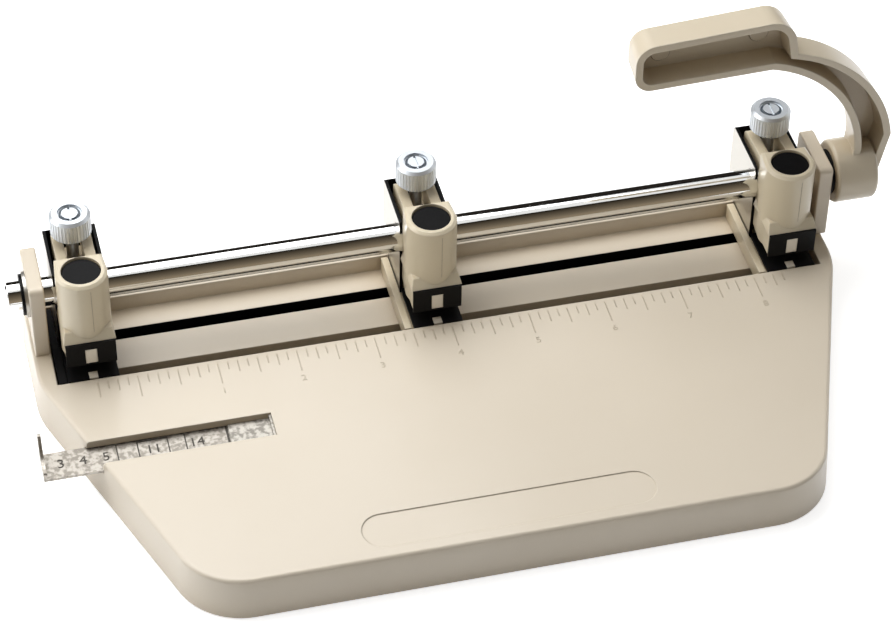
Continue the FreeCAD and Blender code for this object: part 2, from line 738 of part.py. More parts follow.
def make_spring():
    finger_y, finger_z = finger_centre()
    length = finger_z - plunger_bottom_gap - spring_floor_z
    turn_rise = (length - 2 * wire_r - 0.1) / spring_turns
    helix = Part.makeHelix(turn_rise, turn_rise * spring_turns, spring_mean_r)
    step = 2 * math.pi / wire_sides
    corner_r = wire_r * math.sqrt(2 * math.pi / (wire_sides * math.sin(step)))
    corners = [Vector(spring_mean_r + corner_r * math.cos(step * i), 0, corner_r * math.sin(step * i))
               for i in range(wire_sides + 1)]
    coil = Part.Wire(helix.Edges).makePipeShell([Part.makePolygon(corners)], True, True)
    coil = Part.Solid(coil) if coil.ShapeType == "Shell" else coil
    coil.translate(Vector(0, punch_y, spring_floor_z + wire_r + 0.05))
    return coil


def make_cap():
    cap = rod_z(cap_r, 0, punch_y, cap_seat_z, head_top_z - cap_recess)
    rim = [e for e in cap.Edges if e.BoundBox.ZMin > head_top_z - cap_recess - 0.01]
    return cap.makeFillet(0.4, rim)


def make_cam():
    """Collar keyed to the shaft, with the finger that moves the plunger."""
    finger_y, finger_z = finger_centre()
    collar = rod_x(collar_r, -collar_half, collar_half, shaft_y, shaft_z)
    tip = rod_x(finger_tip_r, -finger_half, finger_half, finger_y, finger_z)
    arm = box(-finger_half, finger_half, shaft_y - finger_reach, shaft_y,
              shaft_z - finger_arm_half, shaft_z + finger_arm_half)
    arm.rotate(Vector(0, shaft_y, shaft_z), Vector(1, 0, 0), -finger_angle)
    keyway = keyed_section(shaft_r + RUN, shaft_flat + RUN, -20, 20)
    return collar.fuse([tip, arm]).cut(keyway).removeSplitter()


def make_frame():
    """Steel channel behind the head: two side plates and a rear wall."""
    y0, y1 = fence_y + frame_front, fence_y + frame_back
    tail = fence_y + frame_tail_back
    low_z = base_height + frame_clearance
    points = [(y0, frame_tail_z), (tail, frame_tail_z), (tail, low_z), (y1, low_z),
              (y1, frame_top_z), (y0, frame_top_z)]
    channel = plate_x(points, [0, 0, 0, 2.0, 2.0, 2.0], -frame_half, frame_half)
    inner = frame_half - frame_sheet
    hollow = box(-inner, inner, y0 - 1, y1 - frame_sheet, frame_tail_z - 1, frame_top_z + 1)
    channel = channel.cut(hollow)
    channel = channel.cut(rod_x(shaft_r + RUN, -20, 20, shaft_y, shaft_z))
    return channel


def make_throat_plate():
    """Black front plate, with the sight window above the paper slot."""
    y1 = fence_y + foot_front
    y0 = y1 - plate_sheet
    plate = box(-plate_half, plate_half, y0, y1, throat_top_z, flare_z)
    return plate.cut(box(-window_half, window_half, y0 - 1, y1 + 1, window_z0, window_z1))


def make_die_carrier():
    """Cast shoe that runs in the trough, holds the die and leads chips to the front."""
    floor = trough_floor_z + GAP
    top = die_top_z - die_plate_t
    y0, y1 = fence_y + carrier_front, fence_y + carrier_back
    block = box(-carrier_half + 0.9, carrier_half - 0.9, y0, y1, floor, top)
    rib_x = -frame_half - GAP
    rib = box(rib_x - rib_thickness, rib_x, y0, fence_y + rib_back, floor, base_height)
    tie = box(-frame_half - GAP - 1, -carrier_half + 2, y0, fence_y + frame_front - 1, floor, top)
    shoe = block.fuse([rib, tie])
    bore = rod_z(pin_punch_r + 0.6, 0, punch_y, floor - 1, top + 1)
    chute_points = [(y0 - 1, floor - 1), (fence_y + chip_opening, floor - 1), (punch_y + 3.8, top - 1.6),
                    (punch_y + 3.8, top - 1.0), (y0 - 1, top - 1.0)]
    chute = plate_x(chute_points, [0] * 5, -pin_punch_r - 0.8, pin_punch_r + 0.8)
    lower = box(-20, 20, fence_y + chip_opening, fence_y + chip_opening + 20, floor - 2, top - 1.0)
    bore_upper = bore.cut(lower).fuse(rod_z(pin_punch_r + 0.6, 0, punch_y, top - 1.2, top + 1))
    neck = box(-hook_half - 0.1, hook_half + 0.1, fence_y + slot_front + hook_neck_play - SEAT,
               fence_y + slot_rear - hook_neck_play + SEAT, floor - 1, top + 1)
    return shoe.cut([bore_upper, chute, neck]).removeSplitter()


def make_die_plate():
    """Hardened plate level with the table, with the punch hole and the ruler notch."""
    y0, y1 = fence_y + 0.3, fence_y + frame_front - 0.4
    top = die_top_z
    plate = box(-carrier_half, carrier_half, y0, y1, top - die_plate_t, top)
    plate = plate.cut(rod_z(pin_punch_r + die_clearance, 0, punch_y, 0, top + 1))
    return plate.cut(box(-notch_half, notch_half, y0 - 1, y0 + notch_depth, 0, top + 1))


def make_clamp_hook():
    """Black steel tongue: held by the head above, hooked under the trough floor below."""
    y0, y1 = fence_y + slot_front + hook_neck_play, fence_y + slot_rear - hook_neck_play
    neck = box(-hook_half, hook_half, y0, y1, hook_foot_z0, foot_bottom_z)
    foot = box(-hook_half, hook_half, fence_y + hook_foot_front, fence_y + hook_foot_back,
               hook_foot_z0, hook_foot_z0 + hook_foot_t)
    return neck.fuse(foot).removeSplitter()


def make_thumb_screw():
    """Knurled screw with a recessed top, threaded through the lugs down to the trough floor."""
    low = knob_top_z - knob_height
    knob = rod_z(knob_r, 0, knob_y, low, knob_top_z)
    rims = [e for e in knob.Edges if e.BoundBox.ZMax - e.BoundBox.ZMin < 0.01]
    knob = knob.makeChamfer(knob_chamfer, rims)
    grooves = []
    for i in range(knurl_count):
        angle = 2 * math.pi * i / knurl_count
        x, y = knob_r * math.cos(angle), knob_y + knob_r * math.sin(angle)
        grooves.append(rod_z(knurl_depth, x, y, low + knob_chamfer, knob_top_z - knob_chamfer))
    knob = knob.cut(grooves)
    knob = knob.cut(rod_z(knob_recess_r, 0, knob_y, knob_top_z - knob_recess, knob_top_z + 1))
    head = rod_z(screw_head_r, 0, knob_y, knob_top_z - knob_recess - 0.5, knob_top_z - 0.2)
    head = head.cut(box(-screw_slot / 2, screw_slot / 2, knob_y - 5, knob_y + 5,
                        knob_top_z - knob_recess, knob_top_z + 1))
    shank = rod_z(shank_r, 0, knob_y, trough_floor_z + 0.1, low + 1)
    return knob.fuse([head, shank])


# ---------------------------------------------------------------- gauge
def make_gauge_strip():
    y1 = fence_y + gauge_rear
    y0 = y1 - gauge_width
    strip = box(gauge_left, gauge_right, y0, y1, gauge_z, gauge_z + gauge_t)
    corners = [e for e in strip.Edges if e.BoundBox.ZMax - e.BoundBox.ZMin > gauge_t / 2
               and e.BoundBox.XMin > gauge_left + 1]
    strip = strip.makeFillet(1.0, corners)
    tab = plate_x([(fence_y + y, z) for y, z in gauge_tab], gauge_tab_radii,
                  gauge_left - gauge_sheet / 2, gauge_left + gauge_sheet / 2)
    strip = strip.fuse(tab)
    return strip.removeSplitter()


def make_gauge_clip():
    """Spring clip fixed at the end of the slot, which presses on the strip."""
    z0 = gauge_z + gauge_t + 0.08
    y0, y1 = fence_y + slot_top_front + 0.1, fence_y + slot_top_rear - 0.1
    leaf = box(clip_left, slot_right - 0.1, y0, y1, z0, z0 + clip_t)
    turned = box(slot_right - 0.1 - clip_t, slot_right - 0.1, y0, y1, z0, base_height - 0.6)
    return leaf.fuse(turned).removeSplitter()


def main():
    base = make_base().fuse(make_gauge_bed()).removeSplitter()
    save("base_casting", base)
    save("rubber_feet", make_feet())
    save("chip_tray", make_tray())
    save("left_ear", make_ear(ear_left_inner, -1))
    save("right_ear", make_ear(ear_right_inner, 1))
    save("ear_screws", make_ear_screws())
    save("operating_shaft", make_shaft())
    save("thrust_washer", make_thrust_washer())
    save("retaining_ring", make_retaining_ring())
    save("lever_washer", make_lever_washer())
    save("lever", make_lever())
    save("lever_pin", make_lever_pin())
    save("gauge_strip", make_gauge_strip())
    save("gauge_clip", make_gauge_clip())

    head_parts = {
        "head_casting": make_head_casting(),
        "head_frame": make_frame(),
        "throat_plate": make_throat_plate(),
        "die_carrier": make_die_carrier(),
        "die_plate": make_die_plate(),
        "clamp_hook": make_clamp_hook(),
        "plunger": make_plunger(),
        "punch_pin": make_punch_pin(),
        "return_spring": make_spring(),
        "punch_cap": make_cap(),
        "shaft_cam": make_cam(),
        "thumb_screw": make_thumb_screw(),
    }
    for side, x in HEADS.items():
        for name, shape in head_parts.items():
            copy = shape.copy()
            copy.translate(Vector(x, 0, 0))
            save("%s_%s" % (side, name), copy)
    print("punch stroke %.2f mm" % punch_stroke())


main()
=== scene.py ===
# %% [markdown]
# # A desk hole punch
# The punch is a cast table with three punch heads on a chromed shaft. The sizes, the moving
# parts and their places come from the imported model. This file adds the finish of each part,
# the small surface detail, the light and the camera.

# %% Load the model
import bpy
import bmesh
import math
from mathutils import Matrix, Vector


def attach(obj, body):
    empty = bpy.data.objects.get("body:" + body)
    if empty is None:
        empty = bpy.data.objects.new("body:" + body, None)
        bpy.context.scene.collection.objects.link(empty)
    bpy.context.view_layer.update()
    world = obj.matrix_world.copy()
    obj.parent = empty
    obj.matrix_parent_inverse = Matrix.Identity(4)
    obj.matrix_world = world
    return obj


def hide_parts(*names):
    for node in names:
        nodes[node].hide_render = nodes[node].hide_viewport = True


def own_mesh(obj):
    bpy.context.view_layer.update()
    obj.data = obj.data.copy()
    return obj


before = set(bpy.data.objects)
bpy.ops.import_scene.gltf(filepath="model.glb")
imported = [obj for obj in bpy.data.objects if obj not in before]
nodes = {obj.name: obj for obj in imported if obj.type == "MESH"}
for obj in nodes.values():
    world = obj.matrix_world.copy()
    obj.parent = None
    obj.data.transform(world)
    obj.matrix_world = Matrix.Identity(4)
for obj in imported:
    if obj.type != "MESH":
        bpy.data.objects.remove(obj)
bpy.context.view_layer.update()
MM = 0.001

# %% [markdown]
# Colours are written as sRGB hex, as a picker shows them. Shaders work in linear light, so one
# function turns the first into the second. A second function adds a node, sets its sockets
# and links it, which keeps every material below short enough to read.

# %% Helpers for materials


def colour(hex_code):
    """Linear RGBA of an sRGB hex value."""
    channels = [int(hex_code[i:i + 2], 16) / 255 for i in (1, 3, 5)]
    linear = [c / 12.92 if c <= 0.04045 else ((c + 0.055) / 1.055) ** 2.4 for c in channels]
    return (*linear, 1.0)


def set_inputs(tree, node, inputs):
    """Gives each named input a value, or links it when the value is another node's socket."""
    for name, value in inputs.items():
        if isinstance(value, bpy.types.NodeSocket):
            tree.links.new(value, node.inputs[name])
        else:
            node.inputs[name].default_value = value


def add_node(tree, kind, inputs=None, **properties):
    """Adds a node with its properties, input values and links."""
    node = tree.nodes.new(kind)
    for name, value in properties.items():
        setattr(node, name, value)
    set_inputs(tree, node, inputs or {})
    return node


def new_material(name):
    """A material, its node tree, its Principled shader and the object's own coordinates."""
    material = bpy.data.materials.new(name)
    material.use_nodes = True
    tree = material.node_tree
    place = add_node(tree, "ShaderNodeTexCoord").outputs["Object"]
    return material, tree, tree.nodes["Principled BSDF"], place


def per_metre(size_mm):
    """Noise scale that gives features of about this size."""
    return 1 / (size_mm * MM)


# %% [markdown]
# The table, the ears and the lever are zinc castings under baked enamel. Stoving lets the
# enamel flow into a soft satin skin with a faint orange peel.
# One noise varies the colour and the gloss, a finer one the bump. Edges are found by a rounded
# normal and drawn lighter, a painted highlight, and hollows are found by ambient occlusion and
# drawn darker and browner, a painted shade.

# %% Baked enamel
PATCH_MM = 38
EDGE_MM = 0.6
HOLLOW_MM = 14
# Painted highlight: the lighter colour that sharp edges are mixed towards.
EDGE_HIGHLIGHT_TINT = "#f4ecdc"
# Painted shade: the darker, browner colour that hollows are mixed towards.
HOLLOW_SHADE_TINT = "#9c8154"


def enamel(name, base, shade, peel_mm, roughness):
    material, tree, shader, place = new_material(name)
    patches = add_node(tree, "ShaderNodeTexNoise", {"Vector": place, "Scale": per_metre(PATCH_MM),
                                                    "Detail": 3.0})
    tint = add_node(tree, "ShaderNodeMix", {0: patches.outputs["Fac"], 6: colour(base), 7: colour(shade)},
                    data_type="RGBA")
    gloss = add_node(tree, "ShaderNodeMapRange", {"Value": patches.outputs["Fac"],
                                                  "To Min": roughness - 0.05, "To Max": roughness + 0.06})
    peel = add_node(tree, "ShaderNodeTexNoise", {"Vector": place, "Scale": per_metre(peel_mm), "Detail": 2.0})
    soft_edge = add_node(tree, "ShaderNodeBevel", {"Radius": EDGE_MM * MM}, samples=6)
    flat = add_node(tree, "ShaderNodeNewGeometry").outputs["Normal"]
    turn = add_node(tree, "ShaderNodeVectorMath", {0: soft_edge.outputs["Normal"], 1: flat},
                    operation="DOT_PRODUCT")
    # Painted highlight: where the rounded normal turns from the flat one, the colour gets lighter.
    edge = add_node(tree, "ShaderNodeMapRange", {"Value": turn.outputs["Value"], "From Min": 0.8,
                                                 "From Max": 0.995, "To Min": 0.55, "To Max": 0.0})
    edge_lit = add_node(tree, "ShaderNodeMix", {0: edge.outputs["Result"], 6: tint.outputs[2],
                                            7: colour(EDGE_HIGHLIGHT_TINT)}, data_type="RGBA")
    # Painted shade: ambient occlusion finds the hollows, which are mixed towards a darker, browner colour.
    open_sky = add_node(tree, "ShaderNodeAmbientOcclusion", {"Distance": HOLLOW_MM * MM}, samples=4)
    hollow = add_node(tree, "ShaderNodeMapRange", {"Value": open_sky.outputs["AO"], "From Min": 0.3,
                                                   "From Max": 0.85, "To Min": 0.5, "To Max": 0.0})
    shaded = add_node(tree, "ShaderNodeMix", {0: hollow.outputs["Result"], 6: edge_lit.outputs[2],
                                            7: colour(HOLLOW_SHADE_TINT)}, data_type="RGBA")
    bump = add_node(tree, "ShaderNodeBump", {"Height": peel.outputs["Fac"], "Strength": 0.12,
                                             "Distance": 0.05 * MM, "Normal": soft_edge.outputs["Normal"]})
    set_inputs(tree, shader, {"Base Color": shaded.outputs[2], "Roughness": gloss.outputs["Result"],
                              "Normal": bump.outputs["Normal"], "IOR": 1.5, "Coat Weight": 0.35,
                              "Coat Roughness": 0.15})
    return material


table_enamel = enamel("baked_enamel_beige", "#dbd0be", "#d6cab6", 1.1, 0.42)
head_enamel = enamel("baked_enamel_heads", "#dcd0b6", "#d6c9ad", 0.8, 0.4)
lever_enamel = enamel("baked_enamel_lever", "#d5c9b3", "#cec1a9", 1.0, 0.4)
# Light enamel for pieces that paint light into the shaded die notch and throat window.
painted_light_enamel = enamel("painted_light_cream", "#f4ecdc", "#eee5d3", 0.8, 0.45)
# Slightly darker enamel for the raised ruler ticks and numerals, a painted shade of their sides.
tick_shade_enamel = enamel("baked_enamel_painted_tick_shade", "#d0c3ad", "#cbbda6", 1.0, 0.5)
print("enamels ready")

# %% [markdown]
# The metals are told apart by how their surface was made. The shaft is ground and chromed, so
# it mirrors. The thumb screws are nickel plated over a knurl. Stamped sheet keeps the grain
# of the rolling mill, which is drawn here as stretched noise. Blackened steel is dull.

# %% Metals
BLOTCH_MM = 1.5


def metal(name, base, roughness, grain_mm, stretch, depth, dull=None):
    material, tree, shader, place = new_material(name)
    mapping = add_node(tree, "ShaderNodeMapping", {"Vector": place, "Scale": stretch})
    grain = add_node(tree, "ShaderNodeTexNoise", {"Vector": mapping.outputs["Vector"],
                                                  "Scale": per_metre(grain_mm), "Detail": 3.0})
    rough = add_node(tree, "ShaderNodeMapRange", {"Value": grain.outputs["Fac"],
                                                  "To Min": max(roughness - 0.06, 0.02),
                                                  "To Max": roughness + 0.06})
    bump = add_node(tree, "ShaderNodeBump", {"Height": grain.outputs["Fac"], "Strength": depth,
                                             "Distance": 0.02 * MM})
    blotch = add_node(tree, "ShaderNodeTexNoise", {"Vector": place, "Scale": per_metre(BLOTCH_MM),
                                                   "Detail": 2.0})
    share = add_node(tree, "ShaderNodeMapRange", {"Value": blotch.outputs["Fac"], "From Min": 0.42,
                                                  "From Max": 0.6})
    tint = add_node(tree, "ShaderNodeMix", {0: share.outputs["Result"], 6: colour(base),
                                            7: colour(dull or base)}, data_type="RGBA")
    set_inputs(tree, shader, {"Base Color": tint.outputs[2], "Metallic": 1.0,
                              "Roughness": rough.outputs["Result"], "Normal": bump.outputs["Normal"]})
    return material


chrome_plate = metal("chrome_plate", "#e6e6e4", 0.07, 6.0, (1, 1, 1), 0.0)
zinc_sheet = metal("zinc_plated_sheet", "#c4c1ba", 0.36, 0.5, (1, 8, 1), 0.1)
nickel_plate = metal("satin_nickel_plate", "#d8dde2", 0.46, 0.4, (1, 1, 1), 0.05)
turned_steel = metal("turned_steel", "#b9b6b0", 0.3, 0.3, (1, 1, 1), 0.1)
spring_wire = metal("spring_wire", "#8f8c88", 0.3, 0.3, (1, 1, 1), 0.05)
rolled_aluminium = metal("rolled_aluminium", "#b3aea6", 0.5, 0.5, (0.12, 1, 1), 0.15, "#8b867e")
clip_sheet = metal("tinned_clip_sheet", "#bcb8b0", 0.55, 0.5, (0.12, 1, 1), 0.15, "#8a867f")


def dark_finish(name, base, roughness, grain_mm, specular):
    material, tree, shader, place = new_material(name)
    grain = add_node(tree, "ShaderNodeTexNoise", {"Vector": place, "Scale": per_metre(grain_mm),
                                                  "Detail": 4.0})
    tint = add_node(tree, "ShaderNodeMix", {0: grain.outputs["Fac"], 6: colour(base), 7: colour("#141415")},
                    data_type="RGBA")
    rough = add_node(tree, "ShaderNodeMapRange", {"Value": grain.outputs["Fac"],
                                                  "To Min": roughness - 0.08, "To Max": roughness + 0.08})
    bump = add_node(tree, "ShaderNodeBump", {"Height": grain.outputs["Fac"], "Strength": 0.2,
                                             "Distance": 0.03 * MM})
    set_inputs(tree, shader, {"Base Color": tint.outputs[2], "Roughness": rough.outputs["Result"],
                              "Normal": bump.outputs["Normal"], "IOR": 1.5, "Specular IOR Level": specular})
    return material


black_oxide = dark_finish("black_oxide_steel", "#0b0b0c", 0.42, 0.6, 0.1)
black_abs = dark_finish("black_moulded_abs", "#0a0a0c", 0.35, 0.8, 0.1)
# Dark blue-grey for the ring of painted shade in each thumb screw's recess.
painted_recess_shade_blue_grey = dark_finish("painted_recess_shade_blue_grey", "#66727e", 0.3, 0.5, 0.4)
# Grey for the stamped scale and numerals, and for one line of painted shade at the clip's edge.
stamp_and_shade_grey = dark_finish("stamped_grey_and_painted_shade", "#6a655d", 0.5, 0.5, 0.2)
foot_rubber = dark_finish("moulded_rubber", "#17171a", 0.75, 0.5, 0.3)
print("metals and dark finishes ready")

# %% [markdown]
# The frame of each head is blackened sheet. Its outer faces below the upper edges are drawn as
# bright metal, a painted reflection. The shader tells the faces apart by their place across the
# head and their height.

# %% Frame sheet with a painted reflection
FRAME_OUTER_FACE = 8.35
FRAME_REFLECTION_TOP = 43.4


def frame_sheet(name, head_x_mm):
    """Black sheet, with the outer faces below the upper edges drawn bright, a painted reflection."""
    material, tree, shader, place = new_material(name)
    split = add_node(tree, "ShaderNodeSeparateXYZ", {"Vector": place})
    across = add_node(tree, "ShaderNodeMath", {0: split.outputs["X"], 1: head_x_mm * MM},
                      operation="SUBTRACT")
    reach = add_node(tree, "ShaderNodeMath", {0: across.outputs[0]}, operation="ABSOLUTE")
    outside = add_node(tree, "ShaderNodeMath", {0: reach.outputs[0], 1: FRAME_OUTER_FACE * MM},
                       operation="GREATER_THAN")
    below = add_node(tree, "ShaderNodeMath", {0: split.outputs["Z"], 1: FRAME_REFLECTION_TOP * MM},
                     operation="LESS_THAN")
    # Painted reflection: the outer faces below the upper edges get bright metal.
    painted_reflection = add_node(tree, "ShaderNodeMath", {0: outside.outputs[0], 1: below.outputs[0]},
                      operation="MULTIPLY")
    tint = add_node(tree, "ShaderNodeMix", {0: painted_reflection.outputs[0], 6: colour("#0c0c0d"),
                                            7: colour("#c4c1ba")}, data_type="RGBA")
    grain = add_node(tree, "ShaderNodeTexNoise", {"Vector": place, "Scale": per_metre(0.5), "Detail": 3.0})
    rough = add_node(tree, "ShaderNodeMapRange", {"Value": grain.outputs["Fac"],
                                                  "To Min": 0.3, "To Max": 0.42})
    set_inputs(tree, shader, {"Base Color": tint.outputs[2], "Metallic": painted_reflection.outputs[0],
                              "Roughness": rough.outputs["Result"], "Specular IOR Level": 0.12})
    return material


# %% [markdown]
# Every node of the model gets its finish by name. The three heads repeat, so their finishes
# are listed once and given to each side by a loop. The frames have a sheet material each, since
# it depends on the head's place, and the left head's die carrier is black.

# %% Finishes of the model's nodes
finish_of = {
    "base_casting": table_enamel, "left_ear": table_enamel, "right_ear": table_enamel,
    "lever": lever_enamel, "rubber_feet": foot_rubber, "chip_tray": black_abs,
    "ear_screws": turned_steel, "operating_shaft": chrome_plate, "thrust_washer": zinc_sheet,
    "retaining_ring": black_oxide, "lever_washer": black_oxide, "lever_pin": turned_steel,
    "gauge_strip": rolled_aluminium, "gauge_clip": clip_sheet,
}
head_finish_of = {
    "head_casting": head_enamel, "throat_plate": black_oxide,
    "die_carrier": head_enamel, "die_plate": black_oxide, "clamp_hook": black_oxide,
    "plunger": turned_steel, "punch_pin": turned_steel, "return_spring": spring_wire,
    "punch_cap": black_abs, "shaft_cam": turned_steel, "thumb_screw": nickel_plate,
}
SIDES = ("left", "middle", "right")
for side in SIDES:
    for part, finish in head_finish_of.items():
        finish_of[side + "_" + part] = finish
HEAD_X = {"left": -121.4, "middle": -10.3, "right": 108.7}
for side in SIDES:
    finish_of[side + "_head_frame"] = frame_sheet("frame_painted_reflection_" + side, HEAD_X[side])
finish_of["left_die_carrier"] = black_oxide
for name, node in nodes.items():
    node.data.materials.clear()
    node.data.materials.append(finish_of[name])
print("finished nodes:", len(finish_of))

# %% [markdown]
# The ruler and its numerals stand a little proud of the table, as they do on a casting, and
# their enamel is a little darker, a painted shade of their raised sides. They are drawn from
# the inch: the tick gets shorter from the inch to the half, the quarter and the eighth. The
# gauge strip carries stamped numerals of its own.

# %% Pieces of surface detail
DECK = 15.9
FENCE = 25.7
INCH = 25.4
FIRST_INCH = -108.0
SINK = 0.02
RISE = 0.1
TICK_HALF_WIDTH = 0.17
TICK_END = 1.6
NUMERAL_ROW = 14.0


def link_piece(name, data, material, body):
    """Makes an object in the model's frame and lets it ride on a body."""
    piece = bpy.data.objects.new(name, data)
    data.materials.append(material)
    bpy.context.scene.collection.objects.link(piece)
    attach(piece, body)
    return piece


def boxes_mesh(name, boxes):
    """One mesh of many boxes, each given by two opposite corners in mm."""
    vertices, faces = [], []
    for low, high in boxes:
        first = len(vertices)
        for z in (low[2], high[2]):
            for x, y in ((low[0], low[1]), (high[0], low[1]), (high[0], high[1]), (low[0], high[1])):
                vertices.append((x * MM, y * MM, z * MM))
        for face in ((3, 2, 1, 0), (4, 5, 6, 7), (0, 1, 5, 4), (1, 2, 6, 5), (2, 3, 7, 6), (3, 0, 4, 7)):
            faces.append([first + i for i in face])
    mesh = bpy.data.meshes.new(name)
    mesh.from_pydata(vertices, [], faces)
    return mesh


def ring_mesh(name, inner, outer, height, steps=48):
    """Flat ring round the origin, in mm, as a solid washer."""
    mesh = bmesh.new()
    rows = []
    for radius, z in ((inner, 0), (outer, 0), (outer, height), (inner, height)):
        rows.append([mesh.verts.new((radius * math.cos(2 * math.pi * i / steps) * MM,
                                     radius * math.sin(2 * math.pi * i / steps) * MM, z * MM))
                     for i in range(steps)])
    for k in range(4):
        below, above = rows[k], rows[(k + 1) % 4]
        for i in range(steps):
            j = (i + 1) % steps
            mesh.faces.new((below[i], below[j], above[j], above[i]))
    bmesh.ops.recalc_face_normals(mesh, faces=mesh.faces)
    data = bpy.data.meshes.new(name)
    mesh.to_mesh(data)
    mesh.free()
    return data


def numeral(name, text, size_mm, place_mm, height_mm, material, body):
    """Raised numeral lying flat, read from the front."""
    curve = bpy.data.curves.new(name, "FONT")
    curve.body = text
    curve.size = size_mm * MM
    curve.extrude = height_mm * MM
    curve.align_x = "CENTER"
    curve.align_y = "CENTER"
    piece = link_piece(name, curve, material, body)
    piece.location = Vector(place_mm) * MM
    return piece


def ruler_ticks():
    """Tick boxes in eighths of an inch. The inch ticks are the longest."""
    lengths = {0: 9.0, 4: 6.6, 2: 4.8, 6: 4.8}
    boxes = []
    for eighth in range(-4, 68):
        x = FIRST_INCH + eighth * INCH / 8
        reach = lengths.get(eighth % 8, 3.2)
        boxes.append(((x - TICK_HALF_WIDTH, FENCE - TICK_END - reach, DECK - SINK),
                      (x + TICK_HALF_WIDTH, FENCE - TICK_END, DECK + RISE)))
    return boxes


# Painted shade: the ticks and numerals are drawn in a slightly darker enamel.
link_piece("ruler_ticks", boxes_mesh("ruler_ticks", ruler_ticks()), tick_shade_enamel, "base")
for inch in range(1, 9):
    numeral("ruler_numeral_%d" % inch, str(inch), 3.6,
            (FIRST_INCH + inch * INCH, FENCE - NUMERAL_ROW, DECK), 0.08, tick_shade_enamel, "base")
print("ruler ticks:", len(ruler_ticks()))

# %% [markdown]
# The gauge strip has a stamped scale of lines, a boxed mark and plain numerals, and a wider
# dark line at the clip's edge, a painted shade of the clip's step. Thin black strips on the
# walls of the slot the heads slide in are painted shade, and a dark blue-grey ring in the recess
# of each thumb screw is painted shade too. Light pieces in the notch of each die plate and the
# window of each throat plate are painted light over their shade.

# %% Gauge scale, painted shade in the slot and screw recesses, painted light in die and throat plates
STRIP_TOP, STRIP_Y = 13.0, FENCE - 31.3
LINE_HALF_WIDTH = 0.2
LINE_REACH = 4.2
BOX_LEFT, BOX_RIGHT, BOX_REACH = -112.8, -103.4, 4.0
gauge_lines = [((x - LINE_HALF_WIDTH, STRIP_Y - LINE_REACH, STRIP_TOP - SINK),
                (x + LINE_HALF_WIDTH, STRIP_Y + LINE_REACH, STRIP_TOP + RISE))
               for x in (-119.3, BOX_LEFT, BOX_RIGHT, -98.0)]
gauge_lines += [((BOX_LEFT, y - LINE_HALF_WIDTH, STRIP_TOP - SINK),
                 (BOX_RIGHT, y + LINE_HALF_WIDTH, STRIP_TOP + RISE))
                for y in (STRIP_Y - BOX_REACH, STRIP_Y + BOX_REACH)]
# Painted shade: the wider dark line at the clip's left edge stands for the shade of the clip's step.
gauge_lines.append(((-85.2, STRIP_Y - 5.2, STRIP_TOP - SINK), (-84.5, STRIP_Y + 4.6, STRIP_TOP + 0.12)))
link_piece("gauge_lines", boxes_mesh("gauge_lines", gauge_lines), stamp_and_shade_grey, "gauge")
for label, x, text in (("a", -136.9, "3"), ("b", -130.0, "4"), ("c", -122.9, "5"), ("d", -108.1, "11"),
                       ("e", -94.6, "14")):
    numeral("gauge_numeral_" + label, text, 5.0, (x, STRIP_Y, STRIP_TOP), 0.1, stamp_and_shade_grey, "gauge")

# Painted shade: thin black strips on the walls of the slot.
SLOT_LEFT, SLOT_RIGHT = -127.0, 112.0
SHADE_STRIP_THICKNESS = 0.12
slot_shade_strips = [((SLOT_LEFT, FENCE + y, 6.7), (SLOT_RIGHT, FENCE + y + SHADE_STRIP_THICKNESS, 9.85))
        for y in (22.41, 27.07)]
link_piece("guide_slot_painted_shade", boxes_mesh("guide_slot_painted_shade", slot_shade_strips), black_abs, "base")

SCREW_Y, SCREW_SHADE_Z = FENCE + 33.0, 56.38
for side, x in HEAD_X.items():
    # Painted shade: a dark blue-grey ring in the recess of each thumb screw.
    ring = link_piece(side + "_screw_recess_shade", ring_mesh(side + "_screw_recess_shade", 2.7, 3.45, 0.25), painted_recess_shade_blue_grey,
                      side + "_clamp_screw")
    ring.location = Vector((x, SCREW_Y, SCREW_SHADE_Z)) * MM
    # Painted light: light boxes fill the shaded notch of the die plate and window of the throat plate.
    notch_light_box = [((x - 1.4, FENCE + 0.62, 15.2), (x + 1.4, FENCE + 3.4, 16.15))]
    link_piece(side + "_die_notch_painted_light", boxes_mesh(side + "_die_notch_painted_light", notch_light_box), painted_light_enamel, side + "_head")
    window = [((x - 1.88, FENCE + 2.35, 21.1), (x + 1.88, FENCE + 2.95, 26.8))]
    link_piece(side + "_throat_window_painted_light", boxes_mesh(side + "_throat_window_painted_light", window), painted_light_enamel,
               side + "_head")

# %% [markdown]
# A return spring shortens as its plunger comes down. A model part keeps its shape, so each
# spring is drawn by a piece of its own, a copy of the same coil.

# %% Return springs
for side in SIDES:
    coil = nodes[side + "_return_spring"]
    spring = bpy.data.objects.new(side + "_return_coil", coil.data.copy())
    bpy.context.scene.collection.objects.link(spring)
    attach(spring, side + "_head")
    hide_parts(side + "_return_spring")
    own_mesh(spring)
print("springs ready")

# %% [markdown]
# Two ejector pins of the mould left round marks in the lever's grip, each with a fine groove
# round it, drawn as a thin dark ring of painted shade. The halves of the mould left a thin line
# down the front of each head, drawn dark as painted shade.

